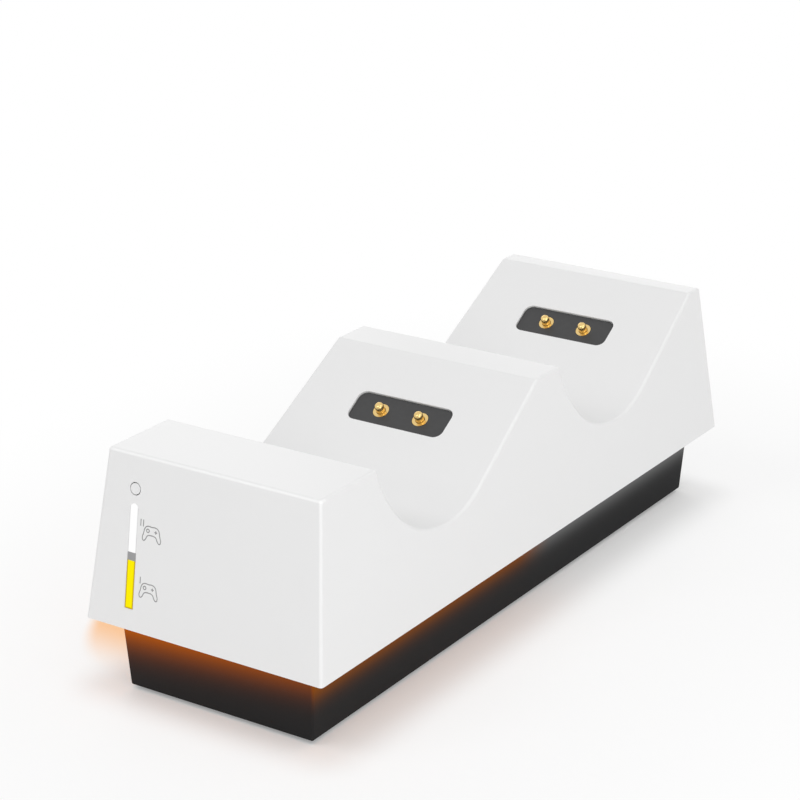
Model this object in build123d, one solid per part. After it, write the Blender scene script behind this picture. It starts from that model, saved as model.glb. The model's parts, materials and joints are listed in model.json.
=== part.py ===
"""Two-bay charging dock for game controllers: a white wave-shaped shell on a black, underlit base.

Millimetres. X runs across the dock, Y from its front to its back, Z up from the table.
The origin lies on the table, under the middle of the dock.
"""
from build123d import *
from math import atan2, cos, degrees, radians, sin, sqrt, tan
import os

# Outer form of the white shell
rim_width = 57.8            # across the shell's lowest edge
base_height = 15.7          # from the base's underside up to the shell's rim
crown_height = 35.9         # from the rim up to the flat tops
foot_height = 0.8           # rubber feet below the base
side_setback = 3.3          # how far each side leans in over the crown height
end_setback = 5.3           # how far the front and the back lean in over the crown height
edge_radius = 0.7
shell_wall = 2.0

# Cradles: a round heel that runs into a straight ramp
tower_depth = 18.7          # flat top in front of the first cradle
crest_depth = 9.8           # flat top between the cradles
rear_crest_depth = 5.2      # flat top behind the second cradle
cradle_depth = 19.0
cradle_radius = 24.0
ramp_angle = 31.6

# Black base
base_side_gap = 5.25        # from the rim's outer edge in to the base's wall, at the sides
base_end_gap = 4.6          # the same at the front and the back
base_flare = 1.0            # how much each wall leans out from the underside to the rim
base_wall = 2.0
base_floor = 2.2
base_lip = 1.1              # the base's wall rises this far inside the shell
base_corner_radius = 0.5    # upright corners and the edge round the underside

# Light guides over the base's wall
guide_recess = 0.6          # lower face above the rim
guide_lip = 2.2             # thickness where the guide sits on the wall
guide_fit = 0.3
baffle_thickness = 1.6      # rib between the two light zones
hold_rib_thickness = 1.2    # ribs inside the shell that keep the guides down
hold_rib_depth = 2.4
hold_rib_height = 9.0
hold_rib_pitch = 24.0
hold_ribs = 3               # on each side of a zone

# Screws: self-tapping, into moulded pillars
case_screw_radius = 1.25
case_head_radius = 2.5
case_head_height = 1.8
case_screw_length = 14.0
case_joint_height = 9.2     # where shell and base pillars meet, above the base's underside
case_head_seat = 3.4        # head's bearing face, above the base's underside
case_pillar_radius = 3.1
case_post_radius = 3.7
case_core_depth = 11.0
case_post_gap = 1.3         # case post to the base's inner wall, at the floor
front_screw_setback = 4.4   # front row, before the tower's back edge
rear_screw_setback = 8.4    # rear row, before the top's back edge
small_screw_radius = 0.8
small_head_radius = 1.7
small_head_height = 1.1
small_post_radius = 2.3
screw_fit = 0.1             # radial room between a shank and its moulded hole
hole_fit = 0.4              # radial room where a screw, post or head passes freely

# Circuit boards
board_thickness = 1.6
board_fit = 0.4
main_board_drop = 0.6       # underside below the top of the base's wall
main_post_gap = 2.0         # board post to the base's inner wall, at the floor
main_post_pitch = 84.0
main_screw_length = 6.0

# Glow lamps along the main board's edge
lamp_length = 3.6
lamp_depth = 1.6
lamp_height = 1.2
lamp_pitch = 13.0
lamp_edge = 0.3
side_lamps = 5              # on each side of a zone
end_lamps = 3               # across each end

# Charge electronics, one set for each cradle
chip_size = 5.0
chip_height = 0.9
coil_size = 6.0
coil_height = 3.0
coil_corner = 1.2
set_spacing = 9.0           # from chip to coil
lead_socket_width = 7.0
lead_socket_depth = 3.2
lead_socket_height = 3.0

# Power inlet
inlet_width = 8.94
inlet_height = 3.26
inlet_length = 7.35
inlet_corner = 1.2
inlet_shell = 0.3
inlet_tongue_width = 6.7
inlet_tongue_height = 0.7
inlet_tongue_length = 4.5
inlet_back_wall = 1.0
inlet_sink = 0.4            # mouth inside the base's outer face
inlet_fit = 0.25
power_board_lift = 1.6      # posts under the power board
power_board_width = 20.0
power_board_length = 17.0
power_post_x = 7.2
power_post_inset = 3.0
power_screw_length = 2.6
header_pins = 4
header_spacing = 2.54
header_pin = 0.64
header_body = 2.5
header_gap = 1.9            # inlet's back to the header

# Indicator bar, button and their board, on the leaning front face
bar_inset = 10.6            # bar's middle, in from the shell's side at the rim
bar_width = 2.1
bar_low = 4.4               # lower end, up the face from the rim
bar_button_gap = 0.96       # upper end to the button's flange
divider_height = 1.7
lens_fit = 0.06
lens_lamp_gap = 0.3         # lens to the lamps behind it
lens_ear = 0.8              # side ears that bear on the wall's inner face
lens_ear_thickness = 1.0
button_drop = 7.12          # button's middle, down the face from its upper edge
button_radius = 1.16
button_gap = 0.2
button_flange = 0.9
button_flange_thickness = 0.8
button_stem_radius = 0.8
button_rest_gap = 0.1       # flange to wall at rest
button_travel = 0.4
indicator_board_gap = 6.6   # board's front face behind the front face
indicator_board_thickness = 1.2
indicator_board_start = 2.0     # lower end above the bar's lower end
indicator_board_margin = 2.2    # upper end above the key switch
indicator_board_side = 3.1      # side edges beyond the middles of the bar and the posts
indicator_post_gap = 0.1    # post to the button's flange
indicator_post_rise = 2.4   # from the board's lower and upper ends
indicator_screw_length = 3.4
indicator_lamp_size = 1.6
indicator_lamp_length = 3.0
indicator_lamp_height = 0.9
lamps_per_lens = 2
switch_size = 3.2
switch_height = 1.6
switch_plunger_radius = 0.7
switch_plunger_rise = 0.5
switch_floor = 0.2

# Spring contacts in each ramp
contact_run = 13.0          # from the ramp's foot up to the contacts
contact_spacing = 10.0
block_width = 24.0
block_height = 8.0
block_corner = 2.0
block_sink = 0.4
block_fit = 0.15
block_flange = 2.0
block_flange_thickness = 1.4
contact_post_gap = 0.7      # screw post to the block's flange
contact_board_side = 3.0    # side edges beyond the posts' middles
contact_board_height = 10.0
contact_board_thickness = 1.2
contact_screw_length = 3.2
barrel_radius = 1.8
barrel_bore = 1.4
barrel_lip = 0.6
barrel_floor = 0.4
barrel_fit = 0.05
pin_radius = 1.0
pin_fit = 0.08
pin_proud = 1.6             # tip above the ramp
pin_crown = 0.6             # rounding of the tip
pin_piston = 1.4
pin_rest_gap = 0.05
pin_travel = 1.2
spring_wire = 0.36
spring_turns = 3.5
spring_fit = 0.06

# Ribbon leads
ribbon_width = 5.0
ribbon_thickness = 0.8
ribbon_bend = 3.0
contact_lead_out = 6.0      # straight out of a contact board before the bend
indicator_lead_out = 0.3    # the same from the indicator board

# Rubber feet
foot_length = 25.0
foot_width = 5.0
foot_inset = 4.1            # strip's middle, in from the base's end
foot_seat = 0.6             # recess in the base's underside

# Heights and lengths that follow
base_z = foot_height
rim_z = base_z + base_height
top_z = rim_z + crown_height
base_top_z = rim_z + base_lip
floor_z = base_z + base_floor
case_joint_z = base_z + case_joint_height
head_seat_z = base_z + case_head_seat
main_board_z = base_top_z - main_board_drop
main_top_z = main_board_z + board_thickness
guide_low_z = rim_z + guide_recess
guide_high_z = base_top_z + guide_lip
spring_room = pin_travel + (spring_turns + 1) * spring_wire + 2 * spring_fit
barrel_length = barrel_lip + pin_rest_gap + pin_piston + spring_room + barrel_floor
power_board_z = floor_z + power_board_lift
power_top_z = power_board_z + board_thickness
ramp = radians(ramp_angle)
heel_z = top_z - cradle_depth + cradle_radius               # centre of the heel's arc
lip_run = sqrt(cradle_radius**2 - max(0.0, heel_z - top_z)**2)
foot_run = cradle_radius * sin(ramp)
ramp_foot_z = heel_z - cradle_radius * cos(ramp)
ramp_run = (top_z - ramp_foot_z) / tan(ramp)
cradle_span = lip_run + foot_run + ramp_run
cradle_pitch = cradle_span + crest_depth
top_length = tower_depth + 2 * cradle_span + crest_depth + rear_crest_depth
dock_length = top_length + 2 * end_setback
top_front_y = -top_length / 2
first_heel_y = top_front_y + tower_depth + lip_run
crest_y = top_front_y + tower_depth + cradle_span + crest_depth / 2
front_lean = atan2(end_setback, crown_height)
front_wall = shell_wall * cos(front_lean)
face_height = crown_height / cos(front_lean)                # up the leaning front face
bar_x = bar_inset - rim_width / 2
button_up = face_height - button_drop
bar_high = button_up - button_radius - button_flange - bar_button_gap
divider_low = (bar_low + bar_high - divider_height) / 2
divider_high = divider_low + divider_height
lens_depth = indicator_board_gap - indicator_lamp_height - lens_lamp_gap
indicator_post_x = bar_x + button_radius + button_flange + indicator_post_gap + small_post_radius
indicator_x = (bar_x + indicator_post_x) / 2                # middle of the indicator board
indicator_low = bar_low + indicator_board_start
indicator_high = button_up + switch_size / 2 + indicator_board_margin
contact_post_x = block_width / 2 + block_flange + contact_post_gap + small_post_radius
small_bore = small_screw_radius + screw_fit                 # moulded hole for a small screw
spare = 5.0                                                 # how far a cutting tool overshoots
touch = 0.01                                                # two heights this near are one
bays = {"front": 0, "rear": 1}

front_face = Plane(
    origin=(0, -dock_length / 2, rim_z), x_dir=(1, 0, 0), z_dir=(0, -cos(front_lean), sin(front_lean)))

UP = (Align.CENTER, Align.CENTER, Align.MIN)
DOWN = (Align.CENTER, Align.CENTER, Align.MAX)


def crown_half_width(z):
    return rim_width / 2 - (z - rim_z) * side_setback / crown_height


def crown_half_length(z):
    return dock_length / 2 - (z - rim_z) * end_setback / crown_height


def base_half_width(z):
    return rim_width / 2 - base_side_gap - (rim_z - z) * base_flare / base_height


def base_half_length(z):
    return dock_length / 2 - base_end_gap - (rim_z - z) * base_flare / base_height


def leaning_block(half_width, half_length, low, high, inset=0.0):
    """Four-sided block between two heights, its leaning walls set in by `inset`."""
    ends = [
        Pos(0, 0, z) * Rectangle(2 * (half_width(z) - inset), 2 * (half_length(z) - inset))
        for z in (low, high)]
    return loft(ends)


def crown_block(low, high, inset=0.0):
    return leaning_block(crown_half_width, crown_half_length, low, high, inset)


def base_block(low, high, inset=0.0):
    return leaning_block(base_half_width, base_half_length, low, high, inset)


def rod(x, y, low, high, radius):
    return Pos(x, y, low) * Cylinder(radius, high - low, align=UP)


def power_board_end_y():
    """Outer end of the power board, just inside the base's back wall."""
    return base_half_length(power_board_z) - base_wall - board_fit


# Places on the base that follow from its walls
inner_half_width = base_half_width(floor_z) - base_wall
case_screw_x = inner_half_width - case_post_gap - case_post_radius
case_screw_places = [
    (side * case_screw_x, y)
    for y in (top_front_y + tower_depth - front_screw_setback, crest_y, top_length / 2 - rear_screw_setback)
    for side in (-1, 1)]
main_post_x = inner_half_width - main_post_gap - small_post_radius
main_post_places = [(x * main_post_x, y * main_post_pitch / 2) for x in (-1, 1) for y in (-1, 1)]
power_post_y = power_board_end_y() - power_board_length + power_post_inset
power_post_places = [(side * power_post_x, power_post_y) for side in (-1, 1)]
inlet_mouth_y = base_half_length(power_top_z) - inlet_sink
header_y = inlet_mouth_y - inlet_length - header_gap - header_body / 2
foot_y = base_half_length(base_z) - foot_inset


def ramp_plane(bay):
    """Plane on a ramp's surface at its contacts: X across the dock, Y up the ramp, Z out of it."""
    heel_y = first_heel_y + bay * cradle_pitch
    return Plane(
        origin=(0, heel_y + foot_run + contact_run * cos(ramp), ramp_foot_z + contact_run * sin(ramp)),
        x_dir=(1, 0, 0), z_dir=(0, -sin(ramp), cos(ramp)))


def cradle_space(bay, grow=0.0):
    """Everything above one cradle's seat, grown down into the seat by `grow`."""
    heel_y = first_heel_y + bay * cradle_pitch
    radius = cradle_radius + grow
    high = max(top_z, heel_z) + spare
    start = (heel_y - radius, heel_z)
    lowest = (heel_y, heel_z - radius)
    foot = (heel_y + radius * sin(ramp), heel_z - radius * cos(ramp))
    head = (foot[0] + (high - foot[1]) / tan(ramp), high)
    outline = Curve() + [
        Line((start[0], high), start),
        ThreePointArc(start, lowest, foot),
        Line(foot, head),
        Line(head, (start[0], high))]
    return extrude(Plane.YZ * make_face(outline), rim_width, both=True)


def bar_face(inset=0.0):
    """Outline of the indicator bar on the front face: round at the top, square below."""
    radius = bar_width / 2 - inset
    low = bar_low + inset
    high = bar_high - bar_width / 2
    straight = Pos(bar_x, (low + high) / 2) * Rectangle(2 * radius, high - low)
    return straight + Pos(bar_x, high) * Circle(radius)


def indicator_post_places():
    return [
        (indicator_post_x, up)
        for up in (indicator_low + indicator_post_rise, indicator_high - indicator_post_rise)]


def hold_down_ribs():
    """Short ribs on the shell's side walls, just clear of the light guides' upper faces."""
    inner_x = crown_half_width(guide_high_z) - shell_wall - hold_rib_depth
    rib = Box(rim_width, hold_rib_thickness, hold_rib_height, align=(Align.MIN, Align.CENTER, Align.MIN))
    low = guide_high_z + guide_fit
    steps = [hold_rib_pitch / 2 + place * hold_rib_pitch for place in range(hold_ribs)]
    right = [Pos(inner_x, crest_y + direction * step, low) * rib for direction in (-1, 1) for step in steps]
    return right + [mirror(each, Plane.YZ) for each in right]


def is_outer_edge(edge):
    """True above the rim, except on the smooth line where a heel runs into its ramp."""
    z = edge.center().Z
    smooth = abs(edge.tangent_at(0).X) > 1 - touch and abs(z - ramp_foot_z) < touch
    return z > rim_z + touch and not smooth


def upper_shell():
    """Wave-shaped white moulding: hollow, drafted, with pillars, contact windows and the bar's slot."""
    skin = crown_block(rim_z, top_z) - [cradle_space(bay) for bay in bays.values()]
    skin = fillet([edge for edge in skin.edges() if is_outer_edge(edge)], edge_radius)
    pillars = [rod(x, y, rim_z, top_z, case_pillar_radius) for x, y in case_screw_places]
    hollow = crown_block(rim_z - spare, top_z - shell_wall, shell_wall)
    hollow -= [cradle_space(bay, shell_wall) for bay in bays.values()]
    hollow -= pillars
    hollow -= hold_down_ribs()
    for bay in bays.values():
        for side in (-1, 1):
            hollow -= ramp_plane(bay) * Pos(side * contact_post_x, 0, -shell_wall) * Cylinder(
                small_post_radius, block_flange_thickness, align=DOWN)
    indicator_post = indicator_board_gap - front_wall
    for x, up in indicator_post_places():
        hollow -= front_face * Pos(x, up, -front_wall) * Cylinder(
            small_post_radius, indicator_post, align=DOWN)
    shell = skin - hollow
    shell += [rod(x, y, case_joint_z, rim_z + spare, case_pillar_radius) for x, y in case_screw_places]
    shell -= [
        rod(x, y, case_joint_z - spare, case_joint_z + case_core_depth, case_screw_radius + screw_fit)
        for x, y in case_screw_places]
    for bay in bays.values():
        window = RectangleRounded(block_width, block_height, block_corner)
        shell -= extrude(ramp_plane(bay) * window, shell_wall + edge_radius, both=True)
        for side in (-1, 1):
            shell -= ramp_plane(bay) * Pos(
                side * contact_post_x, 0, -shell_wall - block_flange_thickness) * Cylinder(
                small_bore, contact_screw_length, align=UP)
    shell -= extrude(front_face * bar_face(), 2 * front_wall, both=True)
    shell -= front_face * Pos(bar_x, button_up) * Cylinder(
        button_radius + button_gap, 2 * front_wall + spare)
    for x, up in indicator_post_places():
        shell -= front_face * Pos(x, up, -indicator_board_gap) * Cylinder(
            small_bore, indicator_screw_length, align=UP)
    return shell


def guide_ring():
    """Full ring of the light guide: it sits on the base's wall and hangs down outside it."""
    ring = crown_block(guide_low_z, guide_high_z, shell_wall + guide_fit)
    ring -= base_block(guide_low_z - spare, base_top_z, -guide_fit)
    return ring - base_block(base_top_z - spare, guide_high_z + spare, base_wall)


def light_guide(front):
    """One light zone's half of the ring, held clear of the rib between the zones."""
    end_y = crest_y + (-1 if front else 1) * (baffle_thickness / 2 + guide_fit)
    half = Pos(0, end_y, base_top_z) * Box(
        2 * rim_width, dock_length * 2, crown_height,
        align=(Align.CENTER, Align.MAX if front else Align.MIN, Align.CENTER))
    return guide_ring() & half


def base_tray():
    """Black lower moulding: floor, flared walls, screw posts, board posts, inlet window, feet recesses."""
    tray = base_block(base_z, base_top_z)
    tray = fillet([edge for edge in tray.edges() if edge.center().Z < base_top_z - touch], base_corner_radius)
    tray -= base_block(floor_z, base_top_z + spare, base_wall)
    tray += [rod(x, y, base_z, case_joint_z, case_post_radius) for x, y in case_screw_places]
    tray += [rod(x, y, base_z, main_board_z, small_post_radius) for x, y in main_post_places]
    tray += [rod(x, y, base_z, power_board_z, small_post_radius) for x, y in power_post_places]
    rib = Pos(0, crest_y, base_top_z) * Box(2 * rim_width, baffle_thickness, crown_height)
    tray += guide_ring() & rib
    for x, y in case_screw_places:
        tray -= rod(x, y, base_z - spare, case_joint_z + spare, case_screw_radius + hole_fit)
        tray -= rod(x, y, base_z - spare, head_seat_z, case_head_radius + hole_fit)
    for x, y in main_post_places:
        tray -= rod(x, y, main_board_z - main_screw_length, main_board_z + spare, small_bore)
    for x, y in power_post_places:
        tray -= rod(x, y, power_top_z - power_screw_length, power_board_z + spare, small_bore)
    window = RectangleRounded(
        inlet_width + 2 * inlet_fit, inlet_height + 2 * inlet_fit, inlet_corner + inlet_fit)
    tray -= extrude(inlet_plane(dock_length / 2) * window, -(base_end_gap + base_flare + base_wall + spare))
    tray -= [foot_strip(side, base_z + foot_seat) for side in (-1, 1)]
    return tray


def foot_strip(side, high):
    """Round-ended rubber strip under one end of the base."""
    return extrude(Pos(0, side * foot_y) * SlotOverall(foot_length, foot_width), high)


def main_board():
    z = main_board_z
    board = Pos(0, 0, z) * Box(
        2 * (base_half_width(z) - base_wall - board_fit),
        2 * (base_half_length(z) - base_wall - board_fit), board_thickness, align=UP)
    board -= [
        rod(x, y, z - spare, main_top_z + spare, case_pillar_radius + hole_fit) for x, y in case_screw_places]
    return board - [rod(x, y, z - spare, main_top_z + spare, small_bore) for x, y in main_post_places]


def glow_lamps(front):
    """Side-firing lamps along the main board's edge, facing one light zone's guide."""
    direction = -1 if front else 1
    edge_x = base_half_width(main_board_z) - base_wall - board_fit - lamp_edge - lamp_depth / 2
    edge_y = base_half_length(main_board_z) - base_wall - board_fit - lamp_edge - lamp_depth / 2
    lamps = []
    for place in range(side_lamps):
        y = crest_y + direction * (lamp_pitch / 2 + place * lamp_pitch)
        lamps += [
            Pos(side * edge_x, y, main_top_z) * Box(lamp_depth, lamp_length, lamp_height, align=UP)
            for side in (-1, 1)]
    for place in range(end_lamps):
        x = (place - (end_lamps - 1) / 2) * lamp_pitch
        lamps.append(
            Pos(x, direction * edge_y, main_top_z) * Box(lamp_length, lamp_depth, lamp_height, align=UP))
    return Compound(lamps)


def charge_set_y(bay):
    """Middle of one cradle's charge electronics on the main board."""
    return first_heel_y + bay * cradle_pitch


def charge_chips():
    return Compound([
        Pos(0, charge_set_y(bay), main_top_z) * Box(chip_size, chip_size, chip_height, align=UP)
        for bay in bays.values()])


def charge_coils():
    coil = extrude(RectangleRounded(coil_size, coil_size, coil_corner), coil_height)
    return Compound([Pos(set_spacing, charge_set_y(bay), main_top_z) * coil for bay in bays.values()])


def power_board():
    board = Pos(0, power_board_end_y(), power_board_z) * Box(
        power_board_width, power_board_length, board_thickness, align=(Align.CENTER, Align.MAX, Align.MIN))
    return board - [
        rod(x, y, power_board_z - spare, power_top_z + spare, small_bore) for x, y in power_post_places]


def inlet_plane(y):
    """Upright plane across the power inlet's axis, facing out of the back."""
    return Plane(origin=(0, y, power_top_z + inlet_height / 2), x_dir=(-1, 0, 0), z_dir=(0, 1, 0))


def power_inlet():
    """Flat oval inlet socket: a folded shell with a contact tongue inside."""
    mouth = inlet_plane(inlet_mouth_y)
    shell = extrude(mouth * RectangleRounded(inlet_width, inlet_height, inlet_corner), -inlet_length)
    hollow = RectangleRounded(
        inlet_width - 2 * inlet_shell, inlet_height - 2 * inlet_shell, inlet_corner - inlet_shell)
    shell -= extrude(mouth * hollow, -(inlet_length - inlet_back_wall))
    tongue = mouth * Pos(0, 0, inlet_back_wall / 2 - inlet_length) * Box(
        inlet_tongue_width, inlet_tongue_height, inlet_tongue_length + inlet_back_wall / 2, align=UP)
    return shell + tongue


def board_header():
    """Row of pins that joins the power board to the main board."""
    header = Pos(0, header_y, power_top_z) * Box(
        header_pins * header_spacing, header_body, header_body, align=UP)
    return header + [
        Pos((pin - (header_pins - 1) / 2) * header_spacing, header_y, power_top_z) * Box(
            header_pin, header_pin, main_board_z - power_top_z, align=UP)
        for pin in range(header_pins)]


def bar_piece(low, high):
    """One piece of the indicator bar: flush with the front face, with ears behind the wall."""
    cut = Pos(bar_x, (low + high) / 2) * Rectangle(2 * bar_width, high - low)
    body = extrude(front_face * (bar_face(lens_fit) & cut), -lens_depth)
    ears = front_face * Pos(bar_x, (low + high) / 2, -front_wall) * Box(
        bar_width + 2 * lens_ear, high - low, lens_ear_thickness, align=DOWN)
    return body + ears


def button_cap():
    """Flush round cap with a retaining flange and a stem that reaches the key switch."""
    flange_top = -front_wall - button_rest_gap
    stem_end = -indicator_board_gap + switch_height + switch_plunger_rise
    place = front_face * Pos(bar_x, button_up)
    cap = place * Cylinder(button_radius, -flange_top, align=DOWN)
    cap += place * Pos(0, 0, flange_top) * Cylinder(
        button_radius + button_flange, button_flange_thickness, align=DOWN)
    return cap + place * Cylinder(button_stem_radius, -stem_end, align=DOWN)


def key_switch():
    """Body of the key switch, with a bore for its plunger."""
    place = front_face * Pos(bar_x, button_up, -indicator_board_gap)
    body = place * Box(switch_size, switch_size, switch_height, align=UP)
    return body - place * Pos(0, 0, switch_floor) * Cylinder(
        switch_plunger_radius + screw_fit, switch_height, align=UP)


def switch_plunger():
    """Plunger under the button's stem, with room below for the button's travel."""
    length = switch_height + switch_plunger_rise - switch_floor - button_travel - button_rest_gap
    return front_face * Pos(
        bar_x, button_up, -indicator_board_gap + switch_height + switch_plunger_rise) * Cylinder(
        switch_plunger_radius, length, align=DOWN)


def indicator_board():
    board = front_face * Pos(indicator_x, (indicator_low + indicator_high) / 2, -indicator_board_gap) * Box(
        indicator_post_x - bar_x + 2 * indicator_board_side, indicator_high - indicator_low,
        indicator_board_thickness, align=DOWN)
    return board - [
        front_face * Pos(x, up, -indicator_board_gap) * Cylinder(small_bore, spare)
        for x, up in indicator_post_places()]


def indicator_lamps():
    """Lamps behind each lens of the bar."""
    lamps = []
    for low, high in ((indicator_low, divider_low), (divider_high, bar_high)):
        step = (high - low) / lamps_per_lens
        for place in range(lamps_per_lens):
            up = low + step / 2 + place * step
            lamps.append(front_face * Pos(bar_x, up, -indicator_board_gap) * Box(
                indicator_lamp_size, indicator_lamp_length, indicator_lamp_height, align=UP))
    return Compound(lamps)


def contact_block(bay):
    """Black carrier that fills the ramp's window and bears on the wall from below."""
    plane = ramp_plane(bay)
    back = -shell_wall - block_flange_thickness
    face = RectangleRounded(
        block_width - 2 * block_fit, block_height - 2 * block_fit, block_corner - block_fit)
    block = extrude(plane * Pos(0, 0, -block_sink) * face, back + block_sink)
    block += plane * Pos(0, 0, back) * Box(
        block_width + 2 * block_flange, block_height + 2 * block_flange, block_flange_thickness, align=UP)
    return block - [
        plane * Pos(x, 0, back) * Cylinder(barrel_radius + barrel_fit, -back, align=UP)
        for x in contact_places()]


def contact_places():
    return (-contact_spacing / 2, contact_spacing / 2)


def contact_board(bay):
    plane = ramp_plane(bay) * Pos(0, 0, -shell_wall - block_flange_thickness)
    width = 2 * (contact_post_x + contact_board_side)
    board = plane * Box(width, contact_board_height, contact_board_thickness, align=DOWN)
    board -= [plane * Pos(x, 0) * Cylinder(barrel_radius + barrel_fit, spare) for x in contact_places()]
    return board - [
        plane * Pos(side * contact_post_x, 0) * Cylinder(small_bore, spare) for side in (-1, 1)]


def contact_barrel(bay, x):
    """Gold tube of one spring contact, closed below and drawn in at the mouth."""
    top = -block_sink
    floor = top - barrel_length
    mouth = pin_radius + pin_fit
    outline = Polyline(
        (0, floor), (barrel_radius, floor), (barrel_radius, top), (mouth, top), (mouth, top - barrel_lip),
        (barrel_bore, top - barrel_lip), (barrel_bore, floor + barrel_floor), (0, floor + barrel_floor),
        close=True)
    return ramp_plane(bay) * Pos(x, 0) * revolve(Plane.XZ * make_face(outline), Axis.Z)


def piston_top():
    return -block_sink - barrel_lip - pin_rest_gap


def contact_pin(bay, x):
    """Gold pin of one spring contact: a crowned stem on a wider piston."""
    piston = rod(0, 0, piston_top() - pin_piston, piston_top(), barrel_bore - pin_fit)
    stem = rod(0, 0, piston_top(), pin_proud, pin_radius)
    stem = fillet(stem.edges().group_by(Axis.Z)[-1], pin_crown)
    return ramp_plane(bay) * Pos(x, 0) * (piston + stem)


def contact_spring(bay, x):
    """Coil spring between the barrel's floor and the pin's piston."""
    low = -block_sink - barrel_length + barrel_floor + spring_wire / 2 + spring_fit
    high = piston_top() - pin_piston - spring_wire / 2 - spring_fit
    radius = barrel_bore - spring_wire / 2 - spring_fit
    path = Helix(pitch=(high - low) / spring_turns, height=high - low, radius=radius)
    wire = Plane(origin=path @ 0, z_dir=path % 0) * Circle(spring_wire / 2)
    return ramp_plane(bay) * Pos(x, 0, low) * sweep(wire, path=path, is_frenet=True)


def ribbon(x, points):
    """Flat lead in a plane across the dock, bent once between two straight runs."""
    path = Plane.YZ * FilletPolyline(*points, radius=ribbon_bend)
    start = Plane(origin=path @ 0, x_dir=(1, 0, 0), z_dir=path % 0)
    return Pos(x, 0, 0) * sweep(start * Rectangle(ribbon_width, ribbon_thickness), path=path)


def lead_end_z():
    return main_top_z + lead_socket_height


def lead_points(start, inward, turn, lead_out):
    """Route of a lead: straight out of its board's back, one bend, then down to its socket."""
    bend = start + inward * (lead_out + ribbon_bend * tan(turn / 2))
    return [(start.Y, start.Z), (bend.Y, bend.Z), (bend.Y, lead_end_z())]


def contact_lead_points(bay):
    plane = ramp_plane(bay)
    depth = shell_wall + block_flange_thickness + contact_board_thickness
    return lead_points(plane.origin - plane.z_dir * depth, -plane.z_dir, ramp, contact_lead_out)


def indicator_lead_points():
    depth = indicator_board_gap + indicator_board_thickness
    up = (indicator_low + indicator_high) / 2
    start = front_face.origin + front_face.y_dir * up - front_face.z_dir * depth
    return lead_points(start, -front_face.z_dir, radians(90) - front_lean, indicator_lead_out)


def lead_sockets():
    """Sockets on the main board, one at the end of each lead."""
    ends = [(0, contact_lead_points(bay)[-1][0]) for bay in bays.values()]
    ends.append((indicator_x, indicator_lead_points()[-1][0]))
    return Compound([
        Pos(x, y, main_top_z) * Box(lead_socket_width, lead_socket_depth, lead_socket_height, align=UP)
        for x, y in ends])


def screw(place, radius, length, head_radius, head_height):
    """Pan-head screw: its head stands on the place, its shank runs down from it."""
    return place * Cylinder(radius, length, align=DOWN) + place * Cylinder(head_radius, head_height, align=UP)


def case_screws():
    return Compound([
        screw(Pos(x, y, head_seat_z) * Rot(180, 0, 0), case_screw_radius, case_screw_length,
              case_head_radius, case_head_height)
        for x, y in case_screw_places])


def small_screw(place, length):
    return screw(place, small_screw_radius, length, small_head_radius, small_head_height)


def board_screws():
    return Compound(
        [small_screw(Pos(x, y, main_top_z), main_screw_length) for x, y in main_post_places]
        + [small_screw(Pos(x, y, power_top_z), power_screw_length) for x, y in power_post_places])


def contact_screws():
    depth = shell_wall + block_flange_thickness + contact_board_thickness
    places = [
        ramp_plane(bay) * Pos(side * contact_post_x, 0, -depth) for bay in bays.values() for side in (-1, 1)]
    return Compound([small_screw(place * Rot(180, 0, 0), contact_screw_length) for place in places])


def indicator_screws():
    depth = indicator_board_gap + indicator_board_thickness
    return Compound([
        small_screw(front_face * Pos(x, up, -depth) * Rot(180, 0, 0), indicator_screw_length)
        for x, up in indicator_post_places()])


def all_nodes():
    nodes = {
        "upper_shell": upper_shell(),
        "base_tray": base_tray(),
        "front_light_guide": light_guide(True),
        "rear_light_guide": light_guide(False),
        "main_board": main_board(),
        "front_glow_lamps": glow_lamps(True),
        "rear_glow_lamps": glow_lamps(False),
        "charge_chips": charge_chips(),
        "charge_coils": charge_coils(),
        "lead_sockets": lead_sockets(),
        "power_board": power_board(),
        "power_inlet": power_inlet(),
        "board_header": board_header(),
        "ready_lens": bar_piece(divider_high, bar_high),
        "bar_divider": bar_piece(divider_low, divider_high),
        "charging_lens": bar_piece(bar_low, divider_low),
        "button_cap": button_cap(),
        "key_switch": key_switch(),
        "switch_plunger": switch_plunger(),
        "indicator_board": indicator_board(),
        "indicator_lamps": indicator_lamps(),
        "indicator_lead": ribbon(indicator_x, indicator_lead_points()),
        "case_screws": case_screws(),
        "board_screws": board_screws(),
        "contact_screws": contact_screws(),
        "indicator_screws": indicator_screws(),
        "front_foot": foot_strip(-1, base_z + foot_seat),
        "rear_foot": foot_strip(1, base_z + foot_seat),
    }
    for name, bay in bays.items():
        nodes[f"{name}_contact_block"] = contact_block(bay)
        nodes[f"{name}_contact_board"] = contact_board(bay)
        nodes[f"{name}_contact_lead"] = ribbon(0, contact_lead_points(bay))
        for side, x in zip(("left", "right"), contact_places()):
            nodes[f"{name}_{side}_barrel"] = contact_barrel(bay, x)
            nodes[f"{name}_{side}_pin"] = contact_pin(bay, x)
            nodes[f"{name}_{side}_spring"] = contact_spring(bay, x)
    return nodes


os.makedirs("parts", exist_ok=True)
for node, solid in all_nodes().items():
    export_step(solid, f"parts/{node}.step")
print(f"dock {rim_width:.1f} x {dock_length:.1f} x {top_z:.1f}, cradle pitch {cradle_pitch:.1f}")
print(f"front face leans {degrees(front_lean):.2f} degrees")
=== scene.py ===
"""Looks of the two-bay controller charging dock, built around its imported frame.

Metres, +Z up, the dock's front towards -Y, its feet on the table at Z = 0.
"""
import json
from math import asin, cos, e, pi, radians, sin, tan

import bmesh
import bpy
from mathutils import Matrix, Vector


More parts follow.
